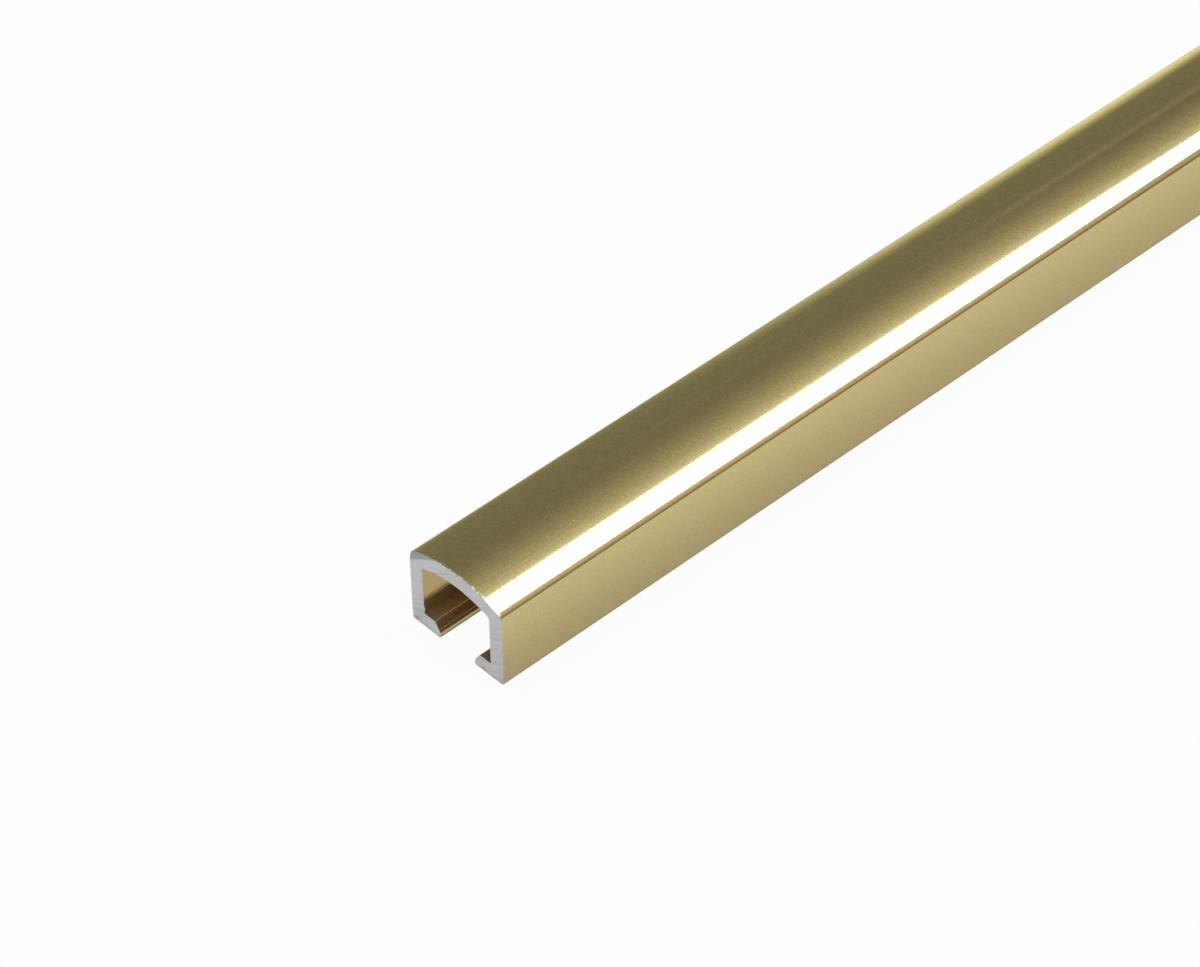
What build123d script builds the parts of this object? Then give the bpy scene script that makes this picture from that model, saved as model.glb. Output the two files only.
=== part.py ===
from build123d import *
import os

# Crowned channel profile: one extruded length of gold-anodised aluminium, in millimetres.
# The profile lies on its two lips with the slot facing down. Its length runs along Y,
# its width along X, and the origin is on the floor under the middle of the length.

# Driving dimensions of the stock
length = 1000.0
width = 15.0
height = 12.0
crown_rise = 1.8
wall = 2.0
crown_thickness = 2.0
lip_thickness = 2.0
slot_width = 5.7

# Bevel that leads from the top of each lip down to the slot
bevel_width = 0.8
bevel_depth = 1.3

# Edge radii that the die leaves
shoulder_radius = 0.6
ceiling_radius = 0.5
bevel_top_radius = 0.6
bevel_foot_radius = 0.4
foot_radius = 0.2
lip_tip_radius = 0.2

# Outer shape: upright sides under a shallow arch
half_width = width / 2
side_height = height - crown_rise
crown_radius = (half_width**2 + crown_rise**2) / (2 * crown_rise)
crown_centre = height - crown_radius

# Channel: the ceiling is an arch about the same centre as the crown
half_channel = half_width - wall
ceiling_arch = crown_radius - crown_thickness
ceiling_top = crown_centre + ceiling_arch
ceiling_side = crown_centre + (ceiling_arch**2 - half_channel**2) ** 0.5

# Slot between the lips
half_slot = slot_width / 2
half_mouth = half_slot + bevel_width
bevel_foot = lip_thickness - bevel_depth
match_tolerance = 0.001


def corners_at(shape, x, z):
    """The left and right corners of a section at a given distance from its middle and height."""
    return shape.vertices().filter_by(
        lambda corner: abs(abs(corner.X) - x) < match_tolerance and abs(corner.Y - z) < match_tolerance
    )


with BuildPart() as channel_profile:
    with BuildSketch(Plane.XZ) as section:
        # Crowned bar
        with BuildLine():
            sides = Polyline(
                (-half_width, side_height), (-half_width, 0), (half_width, 0), (half_width, side_height)
            )
            ThreePointArc(sides @ 1, (0, height), sides @ 0)
        make_face()
        fillet(corners_at(section, half_width, side_height), shoulder_radius)
        fillet(corners_at(section, half_width, 0), foot_radius)

        # Channel with its arched ceiling
        with BuildSketch(mode=Mode.SUBTRACT) as channel:
            with BuildLine():
                walls = Polyline(
                    (-half_channel, ceiling_side),
                    (-half_channel, lip_thickness),
                    (half_channel, lip_thickness),
                    (half_channel, ceiling_side),
                )
                ThreePointArc(walls @ 1, (0, ceiling_top), walls @ 0)
            make_face()
            fillet(corners_at(channel, half_channel, ceiling_side), ceiling_radius)

        # Slot, wider above where the lips are bevelled
        with BuildLine():
            Polyline(
                (-half_slot, 0),
                (-half_slot, bevel_foot),
                (-half_mouth, lip_thickness),
                (half_mouth, lip_thickness),
                (half_slot, bevel_foot),
                (half_slot, 0),
                close=True,
            )
        make_face(mode=Mode.SUBTRACT)
        fillet(corners_at(section, half_mouth, lip_thickness), bevel_top_radius)
        fillet(corners_at(section, half_slot, bevel_foot), bevel_foot_radius)
        fillet(corners_at(section, half_slot, 0), lip_tip_radius)
    extrude(amount=length / 2, both=True)

channel_profile.part.label = "channel_profile"

os.makedirs("parts", exist_ok=True)
export_step(channel_profile.part, "parts/channel_profile.step")

print("section area mm2", round(section.sketch.area, 3))
print("crown radius mm", round(crown_radius, 3))
print("volume mm3", round(channel_profile.part.volume, 1))
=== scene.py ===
# %% [markdown]
# A gold-anodised channel profile.
#
# The real object is one length of extruded aluminium. Hot metal is pushed through a steel die, so the
# same cross-section runs along the whole length. It is brightened, anodised and dyed pale gold, and then
# sawn, so each end shows bare grey metal. This lesson dresses that one piece: first its shape, then the
# gold skin and the sawn ends, then a plain white studio around it.

# %% Load the frame
import math

import bpy
import numpy as np
from mathutils import Matrix, Vector


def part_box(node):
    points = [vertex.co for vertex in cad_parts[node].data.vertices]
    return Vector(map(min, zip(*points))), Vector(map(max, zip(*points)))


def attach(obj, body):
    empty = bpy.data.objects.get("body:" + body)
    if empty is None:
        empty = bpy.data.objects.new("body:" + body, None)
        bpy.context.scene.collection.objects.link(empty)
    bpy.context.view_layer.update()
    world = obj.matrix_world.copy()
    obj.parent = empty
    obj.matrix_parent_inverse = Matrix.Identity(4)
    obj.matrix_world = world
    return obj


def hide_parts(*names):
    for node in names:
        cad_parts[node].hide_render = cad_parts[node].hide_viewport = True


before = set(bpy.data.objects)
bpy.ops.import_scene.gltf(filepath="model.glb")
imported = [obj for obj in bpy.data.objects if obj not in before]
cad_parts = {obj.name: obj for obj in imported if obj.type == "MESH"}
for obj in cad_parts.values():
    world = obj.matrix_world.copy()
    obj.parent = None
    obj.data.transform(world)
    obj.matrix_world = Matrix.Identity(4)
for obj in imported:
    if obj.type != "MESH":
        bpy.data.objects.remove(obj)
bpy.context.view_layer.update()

low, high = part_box("channel_profile")
print("box of the solid, in metres:", [round(value, 4) for value in (*low, *high)])

# %% [markdown]
# Every size below is in metres. Width, height and length come from the frame, and the rest of the
# section repeats the sizes of the solid, so the dressed piece lies exactly over it.

# %% Sizes of the section
MM = 0.001
half_length = (high.y - low.y) / 2
half_width = (high.x - low.x) / 2
height = high.z

crown_rise = 1.8 * MM
wall = 2.0 * MM
crown_thickness = 2.0 * MM
lip_thickness = 2.0 * MM
half_slot = 5.7 * MM / 2
bevel_width = 0.8 * MM
bevel_depth = 1.3 * MM
shoulder_radius = 0.6 * MM
ceiling_setback = 0.35 * MM
bevel_top_radius = 0.6 * MM
bevel_foot_radius = 0.4 * MM
foot_radius = 0.2 * MM

crown_radius = (half_width**2 + crown_rise**2) / (2 * crown_rise)
arch_centre = height - crown_radius
ceiling_radius = crown_radius - crown_thickness
half_channel = half_width - wall
half_mouth = half_slot + bevel_width
bevel_foot = lip_thickness - bevel_depth
print("crown radius, in millimetres:", round(crown_radius / MM, 2))

# %% [markdown]
# The camera stands in front of the sawn end, to its right and well above it, with a long lens. The
# place was worked out from the way the profile's long edges meet, and from the outline of the sawn end.

# %% Camera
camera_azimuth = math.radians(46.92)
camera_elevation = math.radians(42.49)
camera_roll = math.radians(-0.78)
camera_place = Vector((243.5 * MM, -705.7 * MM, 316.6 * MM))
camera_lens, sensor_width = 120.9, 36
nearest_seen, farthest_seen = 0.01, 100

backwards = Vector((
    math.sin(camera_azimuth) * math.cos(camera_elevation),
    -math.cos(camera_azimuth) * math.cos(camera_elevation),
    math.sin(camera_elevation),
))
level = Vector((math.cos(camera_azimuth), math.sin(camera_azimuth), 0))
upwards = backwards.cross(level)
turned = level * math.cos(camera_roll) + upwards * math.sin(camera_roll)
upright = backwards.cross(turned)

camera_data = bpy.data.cameras.new("camera")
camera_data.lens = camera_lens
camera_data.sensor_width = sensor_width
camera_data.clip_start = nearest_seen
camera_data.clip_end = farthest_seen
camera = bpy.data.objects.new("camera", camera_data)
camera_axes = Matrix((turned, upright, backwards)).transposed().to_4x4()
camera.matrix_world = Matrix.Translation(camera_place) @ camera_axes
bpy.context.scene.collection.objects.link(camera)
bpy.context.scene.camera = camera
print("camera at", [round(value, 3) for value in camera_place])

# %% [markdown]
# The section is drawn as two outlines that run side by side, from the left lip round to the right lip.
# The outer one follows the underside, the side and the crown. The inner one follows the bevel, the lip,
# the channel wall and the ceiling. Both have the same number of points, so a straight row of points can
# cross the metal from one to the other. The rows make the sawn end a clean grid, and its rim is the
# outline that is carried along the length.

# %% Points given to each stretch of the outlines
corner_points = 8
underside_points = 44
side_points = 92
shoulder_points = 16
arch_points = 88

bevel_points = 14
lip_points = 26
wall_points = 96
ceiling_corner_points = 16

# Both outlines have the same corners and arch, so only the rest has to come out equal.
outer_rest = underside_points + side_points + shoulder_points
inner_rest = bevel_points + lip_points + wall_points + ceiling_corner_points
print("both outlines have the same number of points:", outer_rest == inner_rest)

# %% Outline helpers
def straight(start, end, count):
    """Points from start towards end: start (1 - t) plus end t, for even steps of t below 1."""
    t = np.arange(count)[:, None] / count
    return np.array(start) * (1 - t) + np.array(end) * t


def round_arc(centre, radius, first, last, count):
    """Points of a circle: centre plus radius times (sine, cosine) of an angle measured from upright."""
    angle = first + (last - first) * np.arange(count) / count
    return np.array(centre) + radius * np.stack([np.sin(angle), np.cos(angle)], 1)


def soft_corner(before, corner, after, count):
    """A corner eased by a curve: before (1 - t)^2 + corner 2t(1 - t) + after t^2."""
    t = np.arange(count)[:, None] / count
    return np.array(before) * (1 - t) ** 2 + np.array(corner) * 2 * t * (1 - t) + np.array(after) * t**2


def towards(start, end, distance):
    """The point that lies a given distance from start on the way to end."""
    start, end = np.array(start), np.array(end)
    return start + (end - start) * distance / np.linalg.norm(end - start)


# %% Outer outline of the right half, from the slot to the top of the crown
right_angle = math.pi / 2
tip_x = half_slot + foot_radius
foot_x = half_width - foot_radius
shoulder_x = half_width - shoulder_radius
shoulder_z = arch_centre + math.sqrt((crown_radius - shoulder_radius) ** 2 - shoulder_x**2)
shoulder_angle = math.asin(shoulder_x / (crown_radius - shoulder_radius))

outer_half = np.concatenate([
    round_arc((tip_x, foot_radius), foot_radius, -right_angle, -2 * right_angle, corner_points),
    straight((tip_x, 0), (foot_x, 0), underside_points),
    round_arc((foot_x, foot_radius), foot_radius, 2 * right_angle, right_angle, corner_points),
    straight((half_width, foot_radius), (half_width, shoulder_z), side_points),
    round_arc((shoulder_x, shoulder_z), shoulder_radius, right_angle, shoulder_angle, shoulder_points),
    round_arc((0, arch_centre), crown_radius, shoulder_angle, 0, arch_points),
])
print("points on the outer half outline:", len(outer_half))

# %% Inner outline of the right half, from the slot to the top of the ceiling
ceiling_angle = math.asin(half_channel / ceiling_radius)
wall_foot = (half_channel, lip_thickness)
ceiling_corner = (half_channel, arch_centre + ceiling_radius * math.cos(ceiling_angle))
eased_angle = ceiling_angle - ceiling_setback / ceiling_radius
eased_corner = (ceiling_radius * math.sin(eased_angle), arch_centre + ceiling_radius * math.cos(eased_angle))
wall_top = (half_channel, ceiling_corner[1] - ceiling_setback)

tip_corner = (half_slot, bevel_foot)
mouth_corner = (half_mouth, lip_thickness)
lean = math.atan2(bevel_width, bevel_depth)
foot_setback = bevel_foot_radius * math.tan(lean / 2)
top_setback = bevel_top_radius * math.tan((right_angle - lean) / 2)
tip_top = towards(tip_corner, (half_slot, 0), foot_setback)
bevel_low = towards(tip_corner, mouth_corner, foot_setback)
bevel_high = towards(mouth_corner, tip_corner, top_setback)
lip_start = towards(mouth_corner, wall_foot, top_setback)

inner_half = np.concatenate([
    soft_corner(tip_top, tip_corner, bevel_low, corner_points),
    straight(bevel_low, bevel_high, bevel_points),
    soft_corner(bevel_high, mouth_corner, lip_start, corner_points),
    straight(lip_start, wall_foot, lip_points),
    straight(wall_foot, wall_top, wall_points),
    soft_corner(wall_top, ceiling_corner, eased_corner, ceiling_corner_points),
    round_arc((0, arch_centre), ceiling_radius, eased_angle, 0, arch_points),
])
print("points on the inner half outline:", len(inner_half))

# %% Both whole outlines, and the grid between them
def whole(half, top):
    """The left half is the right half with x turned round. The top point joins the two."""
    return np.concatenate([half * (-1, 1), [(0, top)], half[::-1]])


outer = whole(outer_half, height)
inner = whole(inner_half, arch_centre + ceiling_radius)
across_count = 26
around_count = len(outer)

share = np.linspace(0, 1, across_count)[:, None, None]
section = outer * (1 - share) + inner * share
section_x, section_z = section[..., 0], section[..., 1]
print("grid over the sawn end:", section_x.shape)

# %% [markdown]
# The saw leaves the end almost flat, but not quite. Its teeth leave faint curved lines, because a round
# blade sweeps over the metal. At the near end one corner broke away at a slight slope, a small step
# crosses one wall where the blade shifted, and four small nicks lie near the underside. Each is a depth
# below the flat end, worked out for the whole grid at once, and their sum moves the points of the end
# inwards. The far end has the blade's lines alone.

# %% Relief of a sawn end
blade_x, blade_z = 60 * MM, -100 * MM
line_count = 14
line_depth = 0.004 * MM
shortest_mm, longest_mm = 0.25, 1.6

break_height, break_slope, break_depth = 9.0 * MM, 0.62, 0.16
step_height, step_slope = 1.4 * MM, 0.52
step_depth, step_run = 0.035 * MM, 0.08 * MM
step_end = 0.4 * MM - half_channel

nick_places = np.array([(-6.8, 0.5), (-5.2, 0.35), (4.3, 0.34), (6.0, 0.2)]) * MM
nick_width, nick_height, nick_depth = 0.22 * MM, 0.11 * MM, 0.03 * MM
pick = np.random.default_rng(7)


def saw_lines(x, z):
    """Line depth times 1 plus the mean of seeded cosine waves in the distance from the blade's axis."""
    distance = np.hypot(x - blade_x, z - blade_z)
    wavelengths = pick.uniform(shortest_mm, longest_mm, line_count) * MM
    shifts = pick.uniform(0, 2 * math.pi, line_count)
    waves = np.cos(2 * math.pi * distance[..., None] / wavelengths + shifts)
    return line_depth * (1 + waves.mean(-1))


def smooth_step(value):
    """0 below 0, 1 above 1, and 3t^2 - 2t^3 between."""
    t = np.clip(value, 0, 1)
    return t * t * (3 - 2 * t)


def bell(distance, width):
    """e to the minus square of distance over width: 1 in the middle and almost 0 two widths away."""
    return np.exp(-((distance / width) ** 2))


def above_line(x, z, start_height, slope):
    """Height of a point above a sloping line that starts at the left side of the section."""
    return z - (start_height + slope * (x + half_width))


above_break = above_line(section_x, section_z, break_height, break_slope)
above_step = above_line(section_x, section_z, step_height, step_slope)
on_left_wall = (section_x < step_end).astype(float)
nicks = sum(
    bell(section_x - x, nick_width) * bell(section_z - z, nick_height) for x, z in nick_places
)

near_depth = (
    saw_lines(section_x, section_z)
    + break_depth * np.clip(above_break, 0, None)
    + step_depth * smooth_step(-above_step / step_run) * on_left_wall
    + nick_depth * nicks
)
far_depth = saw_lines(section_x, section_z)
print("deepest relief, in millimetres:", round(near_depth.max() / MM, 3))

# %% [markdown]
# Where the saw tore the metal it is darker and duller as well as deeper. The nicks and the step's line
# are darker too, with painted shade that stands in for the shade of their shallow relief. The same places
# are therefore kept as one number for each point of the mesh, from 0 for a clean cut to 1 for torn metal or
# full painted shade, and the material of the sawn end reads that number. The underside is torn a little
# all along, because the teeth leave the metal there. The saw also pushed a small burr into the channel, low
# on the left wall.

# %% Torn metal, painted shade of the nicks and the step, and a burr
torn_break, break_edge = 0.75, 0.12 * MM
# Painted shade: the step's line and the nicks are darkened in colour, beyond their shallow relief.
painted_step_shade, step_line = 0.65, 0.06 * MM
painted_nick_shade = 1.3
torn_foot, torn_foot_far, foot_reach = 0.3, 0.25, 0.22 * MM
torn_and_shaded = (
    torn_break * smooth_step(above_break / break_edge)
    + painted_step_shade * bell(above_step, step_line) * on_left_wall
    + painted_nick_shade * nicks
    + torn_foot * bell(section_z, foot_reach)
)
near_torn_and_shaded = np.clip(torn_and_shaded, 0, 1)
far_torn = torn_foot_far * bell(section_z, foot_reach)

burr_size, burr_height, burr_spread = 0.17 * MM, 2.7 * MM, 0.4 * MM
burr_run, tolerance = 0.6 * MM, 0.01 * MM
in_left_wall = section_x < tolerance - half_channel
on_inner_wall = smooth_step((section_x + half_channel + burr_run) / burr_run) * in_left_wall
burr = burr_size * bell(section_z - burr_height, burr_spread) * on_inner_wall
print("share of the near end that is torn:", round(float((near_torn_and_shaded > 0.5).mean()), 3))

# %% [markdown]
# The skin is the rim of the sawn end carried along the length. Its rings of points stand close together
# near the ends, where the light changes, and far apart along the plain middle. Skin and ends share the
# points of the rims, so the mesh is closed.

# %% Rim of the grid, as one closed loop of point numbers
grid_numbers = np.arange(across_count * around_count).reshape(across_count, around_count)
rim = np.concatenate([
    grid_numbers[0],
    grid_numbers[1:, -1],
    grid_numbers[-1, -2::-1],
    grid_numbers[-2:0:-1, 0],
])
ring_count = 43
crowding = 3.2  # rings lie at tanh(crowding t) / tanh(crowding) for even steps of t
place_along = np.linspace(-1, 1, ring_count)[1:-1]
rings_y = half_length * np.tanh(crowding * place_along) / np.tanh(crowding)
print("points on the rim:", len(rim), "and rings between the ends:", len(rings_y))

# %% Points
grid_size = section_x.size
near_points = np.stack([section_x + burr, near_depth - half_length, section_z], -1).reshape(-1, 3)
far_points = np.stack([section_x, half_length - far_depth, section_z], -1).reshape(-1, 3)
rim_x, rim_z = section_x.ravel()[rim], section_z.ravel()[rim]
ring_points = np.stack(np.broadcast_arrays(rim_x, rings_y[:, None], rim_z), -1).reshape(-1, 3)
points = np.concatenate([near_points, far_points, ring_points])

# %% Faces
def grid_faces(numbers):
    """Quads over a grid of point numbers: each takes a point, the next one across, and the two beyond."""
    corners = [numbers[:-1, :-1], numbers[1:, :-1], numbers[1:, 1:], numbers[:-1, 1:]]
    return np.stack(corners, -1).reshape(-1, 4)


near_faces = grid_faces(grid_numbers)
far_faces = grid_faces(grid_numbers + grid_size)[:, ::-1]
ring_numbers = 2 * grid_size + np.arange(len(rings_y) * len(rim)).reshape(len(rings_y), len(rim))
loops = np.concatenate([rim[None], ring_numbers, rim[None] + grid_size])
skin_faces = grid_faces(np.concatenate([loops, loops[:, :1]], 1))[:, ::-1]
faces = np.concatenate([near_faces, far_faces, skin_faces])
print("points:", len(points), "faces:", len(faces))

# %% The mesh
def mesh_from(name, points, faces):
    """Puts whole arrays of points and quads into a new mesh."""
    mesh = bpy.data.meshes.new(name)
    mesh.vertices.add(len(points))
    mesh.vertices.foreach_set("co", points.astype(np.float32).ravel())
    mesh.loops.add(faces.size)
    mesh.loops.foreach_set("vertex_index", faces.astype(np.int32).ravel())
    mesh.polygons.add(len(faces))
    mesh.polygons.foreach_set("loop_start", np.arange(0, faces.size, 4, dtype=np.int32))
    mesh.update(calc_edges=True)
    mesh.validate()
    return mesh


gold_finish, bare_finish, inside_finish = 0, 1, 2
sharp_edge = math.radians(28)

profile_mesh = mesh_from("gold_channel_profile", points, faces)
end_face_count = len(near_faces) + len(far_faces)
skin_columns = np.arange(len(skin_faces)) % len(rim)
skin_finish = np.where(skin_columns < around_count - 1, gold_finish, inside_finish)
finish_of_face = np.concatenate([np.full(end_face_count, bare_finish), skin_finish])
profile_mesh.polygons.foreach_set("material_index", finish_of_face.astype(np.int32))
profile_mesh.polygons.foreach_set("use_smooth", np.ones(len(faces), bool))
profile_mesh.set_sharp_from_angle(angle=sharp_edge)
torn_and_shade_of_point = np.concatenate([near_torn_and_shaded.ravel(), far_torn.ravel(), np.zeros(len(ring_points))])
torn_metal_and_shade = profile_mesh.attributes.new("torn_metal_and_shade", "FLOAT", "POINT")
torn_metal_and_shade.data.foreach_set("value", torn_and_shade_of_point.astype(np.float32))
profile = bpy.data.objects.new("gold_channel_profile", profile_mesh)
bpy.context.scene.collection.objects.link(profile)
print("the near end faces away from the metal:", profile_mesh.polygons[0].normal.y < 0)

# %% [markdown]
# Materials. A small toolbox first. One function adds a node with its values, and the others each do one
# small thing with it: arithmetic, a smooth ramp, noise, a mix of two colours, a bump.

# %% Node helpers
def add_node(tree, kind, values=(), **settings):
    """A new node with its settings, and with input values or links given as (socket, value) pairs."""
    node = tree.nodes.new(kind)
    for name, setting in settings.items():
        setattr(node, name, setting)
    for socket, value in values:
        if isinstance(value, bpy.types.NodeSocket):
            tree.links.new(value, node.inputs[socket])
        else:
            node.inputs[socket].default_value = value
    return node


def maths(tree, operation, first, second=0.0, third=0.0):
    """One arithmetic step on numbers or sockets. MULTIPLY_ADD is first times second plus third."""
    node = add_node(tree, "ShaderNodeMath", [(0, first), (1, second), (2, third)], operation=operation)
    return node.outputs[0]


def product(tree, first, *others):
    """The product of two or more numbers or sockets."""
    for other in others:
        first = maths(tree, "MULTIPLY", first, other)
    return first


def vector_maths(tree, operation, first, second=(0, 0, 0)):
    """One arithmetic step on vectors or colours. A distance comes out as a number."""
    node = add_node(tree, "ShaderNodeVectorMath", [(0, first), (1, second)], operation=operation)
    return node.outputs["Value" if operation == "DISTANCE" else "Vector"]


def scaled(tree, colour, factor):
    """A colour or vector times a number."""
    node = add_node(tree, "ShaderNodeVectorMath", [(0, colour), ("Scale", factor)], operation="SCALE")
    return node.outputs[0]


def ramp(tree, value, start, end, low_value=0.0, high_value=1.0):
    """A smooth change from low_value to high_value while value goes from start to end."""
    pairs = [(0, value), (1, start), (2, end), (3, low_value), (4, high_value)]
    return add_node(tree, "ShaderNodeMapRange", pairs, interpolation_type="SMOOTHSTEP").outputs[0]


def noise(tree, place, scale, detail, roughness):
    """Smooth seeded noise between 0 and 1."""
    pairs = [("Vector", place), ("Scale", scale), ("Detail", detail), ("Roughness", roughness)]
    return add_node(tree, "ShaderNodeTexNoise", pairs).outputs["Fac"]


def mix_colour(tree, share, first, second):
    """The first colour where share is 0, and the second where it is 1."""
    pairs = [(0, share), (6, first), (7, second)]
    return add_node(tree, "ShaderNodeMix", pairs, data_type="RGBA").outputs[2]


def bump(tree, height_map, distance, *more):
    """A bend of the normal by a height. More pairs can give a strength, or the normal to start from."""
    pairs = [("Height", height_map), ("Distance", distance), *more]
    return add_node(tree, "ShaderNodeBump", pairs).outputs[0]


def object_place(tree):
    """The place on the object, in metres from its origin."""
    return tree.nodes.new("ShaderNodeTexCoord").outputs["Object"]


def axes_of(tree, vector):
    """The x, y and z of a vector, as three sockets."""
    return add_node(tree, "ShaderNodeSeparateXYZ", [(0, vector)]).outputs


def new_group(name, label_in, value_in, labels_out):
    """A node group with one number going in. Returns its tree, the number's socket and the output sockets."""
    tree = bpy.data.node_groups.new(name, "ShaderNodeTree")
    socket = tree.interface.new_socket(name=label_in, in_out="INPUT", socket_type="NodeSocketFloat")
    socket.default_value = value_in
    for label in labels_out:
        tree.interface.new_socket(name=label, in_out="OUTPUT", socket_type="NodeSocketFloat")
    return tree, tree.nodes.new("NodeGroupInput").outputs[0], tree.nodes.new("NodeGroupOutput").inputs


def place_group(tree, group, value):
    """Puts a node group into a material, with this material's own value. Returns its outputs."""
    return add_node(tree, "ShaderNodeGroup", [(0, value)], node_tree=group).outputs


def new_material(name):
    """A new material. Returns it with its node tree and its main shader."""
    material = bpy.data.materials.new(name)
    material.use_nodes = True
    return material, material.node_tree, material.node_tree.nodes["Principled BSDF"]


# %% [markdown]
# Die lines. The steel die drags tiny ridges along the metal, so an extrusion has very faint lines that
# run its whole length. Noise that is squeezed across the section and stretched along the length gives
# them. The group puts out a height for a Bump node and a mask for colour and gloss.

# %% Die lines
changes_along = 3.0  # per metre of length
line_mask = (0.56, 0.72)  # the noise where the mask starts and where it is full
die_lines, lines_per_metre, die_out = new_group("die lines", "Lines per metre", 2500.0, ["Height", "Mask"])
squeeze_pairs = [(0, lines_per_metre), (1, changes_along), (2, lines_per_metre)]
squeeze = add_node(die_lines, "ShaderNodeCombineXYZ", squeeze_pairs).outputs[0]
die_place = vector_maths(die_lines, "MULTIPLY", object_place(die_lines), squeeze)
die_noise = noise(die_lines, die_place, scale=1.0, detail=4.0, roughness=0.6)
die_lines.links.new(die_noise, die_out["Height"])
die_lines.links.new(ramp(die_lines, die_noise, *line_mask), die_out["Mask"])
print("made group", die_lines.name)

# %% [markdown]
# Grain. Etching and anodising leave the gold very slightly pebbled, which shows as sparkle where the
# light falls off. The same pebbling, much finer, suits the sawn metal.

# %% Grain
grain_mask = (0.3, 0.7)  # the noise where the mask starts and where it is full
grain, grains_per_metre, grain_out = new_group("grain", "Grains per metre", 4500.0, ["Height", "Mask"])
grain_noise = noise(grain, object_place(grain), grains_per_metre, detail=2.5, roughness=0.65)
grain.links.new(grain_noise, grain_out["Height"])
grain.links.new(ramp(grain, grain_noise, *grain_mask), grain_out["Mask"])
print("made group", grain.name)

# %% [markdown]
# Specks and hairlines. Specks sit at the centres of cells, and only some cells keep theirs. Hairlines are
# the peaks of long thin noise.

# %% Specks and hairlines
kept_cells = (0.32, 0.37)  # each cell has a random number from 0 to 1, and those above this keep a speck
speck_core, speck_edge = 0.02, 0.09  # distance from the centre, in cells
hair_stretch = (4000, 24, 4000)  # changes per metre along x, y and z
hair_mask = (0.61, 0.69)
marks, specks_per_metre, marks_out = new_group("marks", "Specks per metre", 900.0, ["Specks", "Hairlines"])
marks_place = object_place(marks)
cell_pairs = [("Vector", marks_place), ("Scale", specks_per_metre)]
cells = add_node(marks, "ShaderNodeTexVoronoi", cell_pairs, feature="F1")
cell_number = add_node(marks, "ShaderNodeSeparateColor", [(0, cells.outputs["Color"])]).outputs[0]
keep_cell = ramp(marks, cell_number, *kept_cells)
from_centre = ramp(marks, cells.outputs["Distance"], speck_core, speck_edge)
near_centre = maths(marks, "SUBTRACT", 1.0, from_centre)
marks.links.new(product(marks, keep_cell, near_centre), marks_out["Specks"])
stretched_place = vector_maths(marks, "MULTIPLY", marks_place, hair_stretch)
hair_noise = noise(marks, stretched_place, scale=1.0, detail=1.0, roughness=0.5)
marks.links.new(ramp(marks, hair_noise, *hair_mask), marks_out["Hairlines"])
print("made group", marks.name)

# %% [markdown]
# The gold skin is metal under a thin clear dyed layer. Its colour sits in the metal's reflection, so
# Metallic is 1. A light coat adds the colourless shine of the clear layer. Die lines and grain bend the
# reflections a little, but less by the shoulders, where polishing wears them down.
#
# Use leaves marks, and some glints are painted in. Specks on the crown are painted pale, as glints, and
# those on the sides are dark stains. Fine hairlines show near the ends, where the bar is held. Along the
# rim, where the saw left a burr, its sparkle is painted as pale glints. One small dent high on the right
# side, close to the cut, shows grey metal.

# %% Gold-anodised skin
deep_gold = (0.645, 0.512, 0.212, 1)
light_gold = (0.763, 0.605, 0.257, 1)
edge_gold = (0.90, 0.92, 0.70, 1)
# pale_gold is the colour of the painted glints and of the hairlines.
pale_gold = (0.86, 0.76, 0.45, 1)
dented_metal = (0.56, 0.54, 0.52, 1)
stain_brown = (0.30, 0.22, 0.10, 1)

skin_lines, skin_grains, fine_grains, skin_specks = 2600, 3600, 8500, 900  # per metre
skin_roughness, line_roughness, damage_roughness = 0.03, 0.02, 0.35
coat_weight, coat_roughness, coat_ior = 0.12, 0.06, 1.6
line_relief, grain_relief = 0.0024 * MM, 0.0018 * MM
shoulder_top = arch_centre + crown_radius * math.cos(shoulder_angle) + 0.05 * MM
worn_within, worn_until, worn_strength = 0.12 * MM, 0.45 * MM, 0.25  # heights above or below it

crown_foot, crown_blend = height - crown_rise, 0.5 * MM
dent_place = (7.46 * MM, 1.45 * MM - half_length, 10.0 * MM)
dent_edge, dent_core = 0.26 * MM, 0.10 * MM  # distances from its middle
# Painted glints: the flecks along the cut rim stand in for the sparkle of the burr.
fleck_reach, fleck_full = 0.34 * MM, 0.1 * MM  # distances from the cut
fleck_noise, fleck_strength = (0.46, 0.57), 1.3
held_reach, held_full = 150 * MM, 50 * MM  # likewise
hair_strength, pale_strength, stain_strength = 0.45, 0.6, 0.4
side_contrast, crown_contrast = 0.7, 0.7  # of the grain, and the crown's comes on top of the side's


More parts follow.
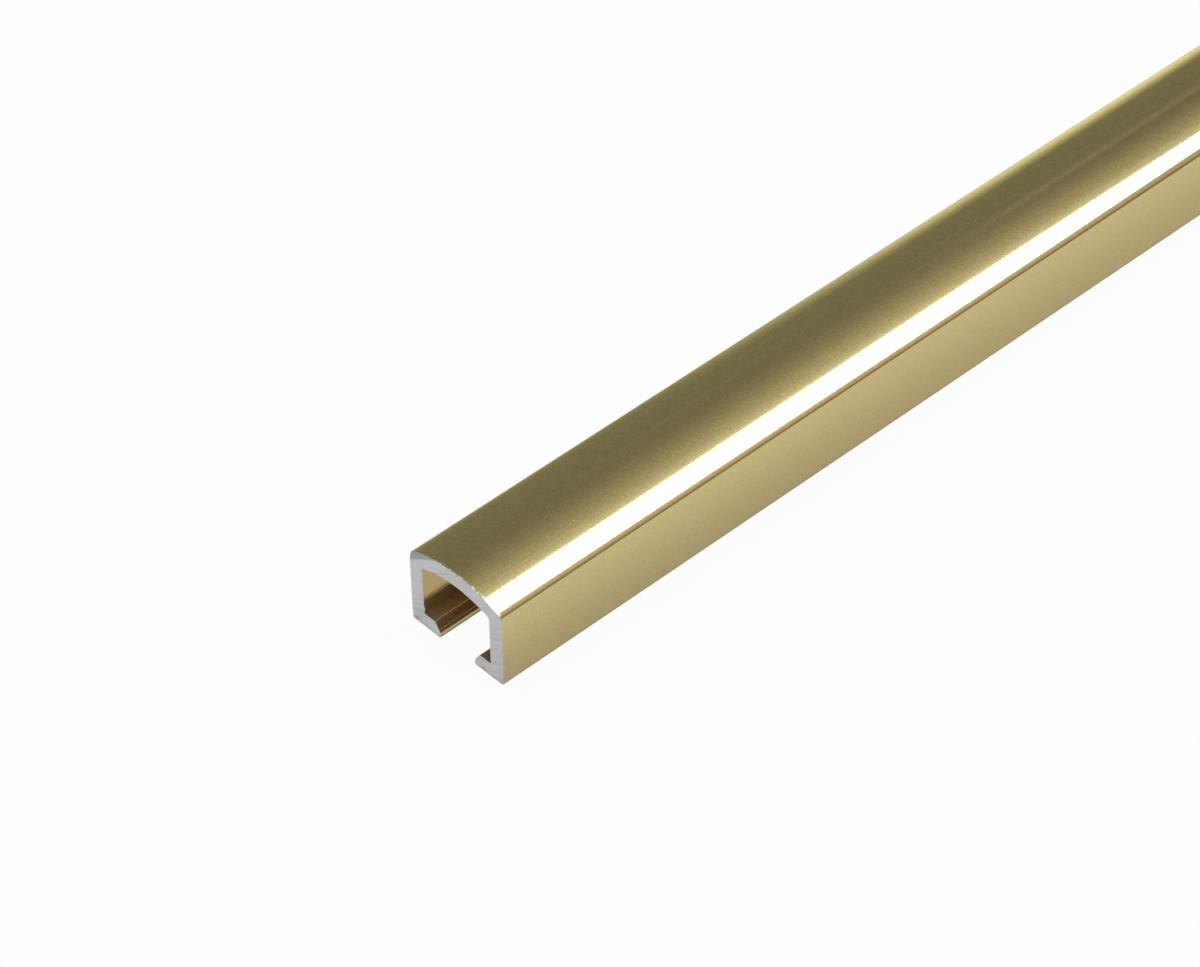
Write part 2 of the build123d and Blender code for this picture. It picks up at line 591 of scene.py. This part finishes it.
def gold_anodised():
    """The dyed and sealed surface of the profile."""
    material, tree, shader = new_material("gold_anodised")
    lines = place_group(tree, die_lines, skin_lines)
    pebble = place_group(tree, grain, skin_grains)
    fine_pebble = place_group(tree, grain, fine_grains)
    specks_and_hairs = place_group(tree, marks, skin_specks)

    place = object_place(tree)
    y, z = axes_of(tree, place)[1:]
    from_middle = maths(tree, "ABSOLUTE", y)
    on_crown = ramp(tree, z, crown_foot, crown_foot + crown_blend)
    # Painted glints: pale flecks at the cut rim and pale specks on the crown; specks on the sides are stains.
    at_end = ramp(tree, from_middle, half_length - fleck_reach, half_length - fleck_full)
    painted_rim_glints = product(tree, at_end, ramp(tree, pebble["Height"], *fleck_noise, 0.0, fleck_strength))
    painted_crown_glints = product(tree, specks_and_hairs["Specks"], on_crown)
    stains = maths(tree, "SUBTRACT", specks_and_hairs["Specks"], painted_crown_glints)
    painted_glints = maths(tree, "MAXIMUM", painted_crown_glints, painted_rim_glints)
    held_ends = ramp(tree, from_middle, half_length - held_reach, half_length - held_full)
    exposed = product(tree, on_crown, held_ends)
    hairs = product(tree, specks_and_hairs["Hairlines"], exposed, hair_strength)
    glints_and_hairlines = maths(tree, "MAXIMUM", painted_glints, hairs)
    dent = ramp(tree, vector_maths(tree, "DISTANCE", place, dent_place), dent_edge, dent_core)

    grain_contrast = maths(tree, "MULTIPLY_ADD", on_crown, crown_contrast, side_contrast)
    centred = maths(tree, "SUBTRACT", pebble["Mask"], 0.5)
    uneven = maths(tree, "MULTIPLY_ADD", centred, grain_contrast, 0.5)
    pebbled = mix_colour(tree, uneven, deep_gold, light_gold)
    with_glints_and_hairlines = mix_colour(tree, product(tree, glints_and_hairlines, pale_strength), pebbled, pale_gold)
    stained = mix_colour(tree, product(tree, stains, stain_strength), with_glints_and_hairlines, stain_brown)
    tree.links.new(mix_colour(tree, dent, stained, dented_metal), shader.inputs["Base Color"])

    dull = maths(tree, "MULTIPLY_ADD", lines["Mask"], line_roughness, skin_roughness)
    damaged = maths(tree, "MAXIMUM", painted_glints, dent)
    tree.links.new(maths(tree, "MULTIPLY_ADD", damaged, damage_roughness, dull), shader.inputs["Roughness"])
    shader.inputs["Metallic"].default_value = 1
    shader.inputs["Specular Tint"].default_value = edge_gold
    shader.inputs["Coat Weight"].default_value = coat_weight
    shader.inputs["Coat Roughness"].default_value = coat_roughness
    shader.inputs["Coat IOR"].default_value = coat_ior

    from_shoulder = maths(tree, "ABSOLUTE", maths(tree, "SUBTRACT", z, shoulder_top))
    unworn = ramp(tree, from_shoulder, worn_within, worn_until, worn_strength, 1.0)
    line_bump = bump(tree, lines["Height"], line_relief, ("Strength", unworn))
    both_bumps = bump(tree, fine_pebble["Height"], grain_relief, ("Strength", unworn), ("Normal", line_bump))
    tree.links.new(both_bumps, shader.inputs["Normal"])
    return material


# %% [markdown]
# Inside the channel the same gold is duller. Nobody polishes it, the die drags it more, and the tank's
# bath moves less there. So it is rougher, its lines are deeper, and a part of the light scatters in it.
# Two thin ridges run along each lip, one on its upper edge and one on its bevel. The section is the same
# left and right, so the place is folded over its middle and each ridge is written once.

# %% Gold inside the channel
inside_deep = (0.66, 0.505, 0.235, 1)
inside_light = (0.77, 0.59, 0.280, 1)
inside_lines, inside_grains = 2400, 3500  # per metre
inside_metallic = 0.82
inside_roughness, inside_line_roughness = 0.11, 0.08
inside_line_relief, inside_grain_relief = 0.024 * MM, 0.008 * MM

ridge_width = 0.06 * MM
ridges_at = [  # x, z and height of each ridge
    (half_mouth - 0.06 * MM, lip_thickness - 0.03 * MM, 0.0105 * MM),
    (half_slot + 0.24 * MM, bevel_foot + 0.39 * MM, 0.009 * MM),
]


def gold_inside():
    """The same dye on metal that was never brightened."""
    material, tree, shader = new_material("gold_inside")
    lines = place_group(tree, die_lines, inside_lines)
    pebble = place_group(tree, grain, inside_grains)
    uneven = maths(tree, "MAXIMUM", pebble["Mask"], lines["Mask"])
    tree.links.new(mix_colour(tree, uneven, inside_deep, inside_light), shader.inputs["Base Color"])
    shader.inputs["Metallic"].default_value = inside_metallic
    dull = maths(tree, "MULTIPLY_ADD", lines["Mask"], inside_line_roughness, inside_roughness)
    tree.links.new(dull, shader.inputs["Roughness"])

    folded = vector_maths(tree, "ABSOLUTE", object_place(tree))
    flat = vector_maths(tree, "MULTIPLY", folded, (1, 0, 1))
    ridges = 0.0
    for x, z, ridge_height in ridges_at:
        ridge = ramp(tree, vector_maths(tree, "DISTANCE", flat, (x, 0, z)), ridge_width, 0)
        ridges = maths(tree, "MULTIPLY_ADD", ridge, ridge_height / MM, ridges)
    ridge_bump = bump(tree, ridges, MM)
    line_bump = bump(tree, lines["Height"], inside_line_relief, ("Normal", ridge_bump))
    all_bumps = bump(tree, pebble["Height"], inside_grain_relief, ("Normal", line_bump))
    tree.links.new(all_bumps, shader.inputs["Normal"])
    return material


# %% [markdown]
# The sawn end is bare aluminium, dull and grey, with the curved lines that the blade's teeth leave.
# Their distance from the blade's axis drives a stretched noise, so every line is an arc about that axis.
# A slow wander keeps the arcs from being perfect.

# %% Bare sawn metal
bare_colour = (0.70, 0.685, 0.635, 1)
scored_colour = (0.56, 0.548, 0.508, 1)
# The colour of torn metal, and of the painted shade at the nicks and the step's line.
torn_and_shade_colour = (0.40, 0.385, 0.365, 1)

wanders_per_metre, wander_width = 700.0, 0.5 * MM
arcs_per_metre, breaks_per_metre = 3800, 120
sawn_grains = 9000  # per metre
score_mask = (0.45, 0.75)
streak_noise, streak_shares = (0.2, 0.6), (0.55, 1.0)
bare_roughness, pebble_roughness, torn_roughness = 0.42, 0.1, 0.15
score_relief, sawn_grain_relief = 0.02 * MM, 0.006 * MM


def sawn_aluminium():
    """Bare metal as the saw leaves it."""
    material, tree, shader = new_material("sawn_aluminium")
    place = object_place(tree)
    flat = vector_maths(tree, "MULTIPLY", place, (1, 0, 1))
    from_axis = vector_maths(tree, "DISTANCE", flat, (blade_x, 0, blade_z))
    wander = noise(tree, place, wanders_per_metre, detail=2.0, roughness=0.5)
    wandering = maths(tree, "MULTIPLY_ADD", wander, wander_width, from_axis)
    along_arcs = product(tree, axes_of(tree, place)[0], breaks_per_metre)
    arc_pairs = [(0, product(tree, wandering, arcs_per_metre)), (1, along_arcs)]
    arcs = add_node(tree, "ShaderNodeCombineXYZ", arc_pairs).outputs[0]
    scores = noise(tree, arcs, scale=1.0, detail=3.0, roughness=0.6)
    pebble = place_group(tree, grain, sawn_grains)

    scored = mix_colour(tree, ramp(tree, scores, *score_mask), bare_colour, scored_colour)
    # The attribute holds torn metal together with the painted shade of the nicks and the step's line.
    torn_and_shade_share = add_node(tree, "ShaderNodeAttribute", attribute_name="torn_metal_and_shade").outputs["Fac"]
    streaked = product(tree, torn_and_shade_share, ramp(tree, scores, *streak_noise, *streak_shares))
    tree.links.new(mix_colour(tree, streaked, scored, torn_and_shade_colour), shader.inputs["Base Color"])
    shader.inputs["Metallic"].default_value = 1
    dull = maths(tree, "MULTIPLY_ADD", pebble["Mask"], pebble_roughness, bare_roughness)
    tree.links.new(maths(tree, "MULTIPLY_ADD", torn_and_shade_share, torn_roughness, dull), shader.inputs["Roughness"])
    score_bump = bump(tree, scores, score_relief)
    both_bumps = bump(tree, pebble["Height"], sawn_grain_relief, ("Normal", score_bump))
    tree.links.new(both_bumps, shader.inputs["Normal"])
    return material


for material in (gold_anodised(), sawn_aluminium(), gold_inside()):
    profile.data.materials.append(material)
    print("made material", material.name)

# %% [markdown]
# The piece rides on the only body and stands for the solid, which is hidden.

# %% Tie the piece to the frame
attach(profile, "root")
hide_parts("channel_profile")

# %% [markdown]
# The studio. Polished metal shows what stands around it, so the surroundings matter more than the lamps.
# The world is a studio described by direction. Every angle here is in degrees, measured across the
# profile from straight up towards +X, and a short list says how bright each angle is: a quiet grey
# ceiling that brightens towards the top, and a backdrop that is pale at the horizon.
#
# A long soft lamp hangs nearly overhead and gives the white stripe on the crown. Its light is cool, and
# so is the glow around it. The ceiling to its right is warmer, and low on the left it is slightly green.
#
# How far a direction points to the far end is its y, from -1 to 1. Towards the far end the lamp narrows
# and stops, a glow lies low on the left, a faint seam crosses the ceiling above that, and past the seam
# the ceiling is dimmer. The camera itself sees plain white.

# %% World
brightness_at = [
    (-180, 0.75), (-93, 0.52), (-89, 0.34), (-83, 0.26), (-61, 0.24), (-43, 0.238),
    (-36, 0.262), (-30, 0.305), (-24, 0.37), (-18, 0.475), (-14, 0.54), (-10, 0.66),
    (-6, 0.90), (13, 0.70), (16, 0.61), (25, 0.55), (40, 0.45), (55, 0.35),
    (68, 0.26), (80, 0.26), (86, 0.39), (91, 0.75), (180, 0.75),
]
# Each pair below says where a smooth change starts and where it is complete.
lamp_colour = (3.2, 3.9, 7.0)
lamp_left, lamp_right = -3.6, 11.4
left_softness, right_softness = (-1.1, 0.5), (-0.2, 0.2)
lamp_far_end, lamp_near_end = (0.665, 0.64), (-0.8, -0.6)
lamp_narrows = (0.58, 0.66)
narrowed_by, right_share = 2.2, 0.5  # degrees that its left edge moves in, and the right edge's share
glow_reach, glow_angles, glow_level = (0.51, 0.64), (-72, -92), 0.86
seam_rise, seam_fall, seam_reach, seam_level = (-46, -41), (-36, -41), (0.57, 0.62), 0.05
dim_reach, dim_angles, dim_share = (0.58, 0.65), (-42, -34), 0.18

plain_white = (1, 1, 1, 1)
cool_tint, cool_angles = (0.965, 1.0, 0.955, 1), (-60, -86)
fresh_tint, fresh_angles = (0.96, 1.02, 1.10, 1), (-14, -6)
warm_tint, warm_from, warm_until = (1.06, 0.965, 0.98, 1), (9, 14), (80, 65)


def studio_world():
    """Brightness by direction: a list over the angle across the profile, plus one long soft lamp."""
    world = bpy.data.worlds.new("studio")
    world.use_nodes = True
    tree = world.node_tree
    tree.nodes.clear()
    across, far, up = axes_of(tree, tree.nodes.new("ShaderNodeTexCoord").outputs["Generated"])
    angle = maths(tree, "DEGREES", maths(tree, "ARCTAN2", across, up))

    turn = maths(tree, "MULTIPLY_ADD", angle, 1 / 360, 0.5)
    surroundings = add_node(tree, "ShaderNodeValToRGB", [(0, turn)])
    stops = surroundings.color_ramp.elements
    while len(stops) < len(brightness_at):
        stops.new(0.5)
    for stop, (degrees, level_here) in zip(stops, brightness_at):
        stop.position = (degrees + 180) / 360
        stop.color = (level_here, level_here, level_here, 1)

    narrowing = ramp(tree, far, *lamp_narrows, 0.0, narrowed_by)
    from_left = maths(tree, "SUBTRACT", maths(tree, "SUBTRACT", angle, lamp_left), narrowing)
    from_right = maths(tree, "SUBTRACT", lamp_right, angle)
    from_right = maths(tree, "MULTIPLY_ADD", narrowing, -right_share, from_right)
    lamp_width = product(tree, ramp(tree, from_left, *left_softness), ramp(tree, from_right, *right_softness))
    lamp_reach = product(tree, ramp(tree, far, *lamp_far_end), ramp(tree, far, *lamp_near_end))
    lamp = product(tree, lamp_width, lamp_reach)

    far_glow = product(tree, ramp(tree, far, *glow_reach), ramp(tree, angle, *glow_angles))
    seam = product(tree, ramp(tree, angle, *seam_rise), ramp(tree, angle, *seam_fall))
    far_seam = product(tree, seam, ramp(tree, far, *seam_reach))
    dimming = product(tree, ramp(tree, far, *dim_reach, 0.0, dim_share), ramp(tree, angle, *dim_angles))
    base_level = maths(tree, "MULTIPLY_ADD", far_glow, glow_level, surroundings.outputs[0])
    dimmer_far = product(tree, base_level, maths(tree, "SUBTRACT", 1.0, dimming))
    brightness = maths(tree, "MULTIPLY_ADD", far_seam, seam_level, dimmer_far)

    cooler = mix_colour(tree, ramp(tree, angle, *cool_angles), plain_white, cool_tint)
    fresher = mix_colour(tree, ramp(tree, angle, *fresh_angles), cooler, fresh_tint)
    in_warmth = product(tree, ramp(tree, angle, *warm_from), ramp(tree, angle, *warm_until))
    tint = mix_colour(tree, in_warmth, fresher, warm_tint)
    light = vector_maths(tree, "ADD", scaled(tree, tint, brightness), scaled(tree, lamp_colour, lamp))

    seen = tree.nodes.new("ShaderNodeLightPath").outputs["Is Camera Ray"]
    shown = mix_colour(tree, seen, light, plain_white)
    glow = add_node(tree, "ShaderNodeBackground", [("Color", shown), ("Strength", 1.0)])
    add_node(tree, "ShaderNodeOutputWorld", [(0, glow.outputs[0])])
    return world


bpy.context.scene.world = studio_world()
print("world set:", bpy.context.scene.world.name)

# %% [markdown]
# The floor is white paper. It takes real light and shadow, and for the camera most of it is replaced by
# plain white, so that the shadow stays but is faint.
#
# The polished side mirrors the paper beside it. Real paper is darker there, in the shade of the bar, and
# darkest where they touch, and darker still just under the lips. Here that shade is painted shadow in the
# paper's colour and in its glow for reflections: the paper darkens close to the bar, a little more near
# its ends, and in its mirror image that painted shadow is slightly violet.

# %% Floor
floor_half = 4.0
camera_white_share = 0.955
mirror_glow_share = 0.6
paper_level = 0.78
mirror_glow = 0.905
glow_tint = (0.98, 0.97, 0.91, 1)
shade_tint = (0.97, 0.945, 1.04, 1)

shade_reach, shade_start, shade_depth = 9 * MM, 2 * MM, 0.31
middle_shade, middle_within, ends_within = 0.78, 120 * MM, 20 * MM  # distances from the cut
past_end, before_end = 0.2 * MM, 0.4 * MM
touch_reach, touch_depth = 0.3 * MM, 0.2
gap_from, gap_until = (-0.32 * MM, -0.22 * MM), (0.5 * MM, 0.3 * MM)  # from the tip of the lip
gap_depth = 0.7
gap_past_end = 0.1 * MM


def paper_floor():
    """White paper: matt, white for the camera, a softer glow for reflections, painted shadow by the bar."""
    material = bpy.data.materials.new("paper")
    material.use_nodes = True
    tree = material.node_tree
    tree.nodes.clear()
    place = axes_of(tree, object_place(tree))
    aside = maths(tree, "ABSOLUTE", place[0])
    from_middle = maths(tree, "ABSOLUTE", place[1])

    # Painted shadow: these masks darken the paper beside the bar, where it touches, and under the lips.
    close_by = ramp(tree, aside, half_width + shade_reach, half_width)
    outside = ramp(tree, aside, half_width - shade_start, half_width)
    alongside = ramp(tree, from_middle, half_length + past_end, half_length - before_end)
    towards_end = ramp(
        tree, from_middle, half_length - middle_within, half_length - ends_within, middle_shade, 1.0
    )
    painted_shadow_beside = product(tree, outside, close_by, alongside, towards_end)
    painted_contact_shadow = product(tree, outside, ramp(tree, aside, half_width + touch_reach, half_width))

    inside_ends = ramp(tree, from_middle, half_length + gap_past_end, half_length - before_end)
    gap_start = ramp(tree, aside, *(half_slot + offset for offset in gap_from))
    gap_end = ramp(tree, aside, *(half_slot + offset for offset in gap_until))
    painted_shadow_under_lips = product(tree, gap_start, inside_ends, gap_end)
    shaded = maths(tree, "MULTIPLY_ADD", painted_shadow_beside, -shade_depth, 1.0)
    dark_gap = maths(tree, "MULTIPLY_ADD", painted_shadow_under_lips, -gap_depth, shaded)
    lightness_with_painted_shadow = maths(tree, "MULTIPLY_ADD", painted_contact_shadow, -touch_depth, dark_gap)
    matt = add_node(tree, "ShaderNodeBsdfDiffuse", [("Color", product(tree, lightness_with_painted_shadow, paper_level))])

    path = tree.nodes.new("ShaderNodeLightPath")
    mirrored = maths(tree, "MAXIMUM", path.outputs["Is Glossy Ray"], path.outputs["Is Transmission Ray"])
    seen = path.outputs["Is Camera Ray"]
    glow = maths(tree, "ADD", product(tree, lightness_with_painted_shadow, mirror_glow, mirrored), seen)
    painted_shadow_tint = mix_colour(tree, painted_shadow_beside, glow_tint, shade_tint)
    glow_colour = mix_colour(tree, seen, painted_shadow_tint, plain_white)
    plain = add_node(tree, "ShaderNodeEmission", [("Color", glow_colour), ("Strength", glow)])

    for_mirror = product(tree, mirrored, mirror_glow_share)
    white_share = maths(tree, "MULTIPLY_ADD", seen, camera_white_share, for_mirror)
    pairs = [(0, white_share), (1, matt.outputs[0]), (2, plain.outputs[0])]
    blend = add_node(tree, "ShaderNodeMixShader", pairs)
    add_node(tree, "ShaderNodeOutputMaterial", [(0, blend.outputs[0])])
    return material


floor_corners = floor_half * np.array([(-1, -1, 0), (1, -1, 0), (1, 1, 0), (-1, 1, 0)])
floor = bpy.data.objects.new("floor", mesh_from("floor", floor_corners, np.array([[0, 1, 2, 3]])))
floor.data.materials.append(paper_floor())
bpy.context.scene.collection.objects.link(floor)
print("floor is", 2 * floor_half, "metres wide")

# %% [markdown]
# Plain colours come out as they are written with the Standard view.

# %% View
bpy.context.scene.view_settings.view_transform = "Standard"
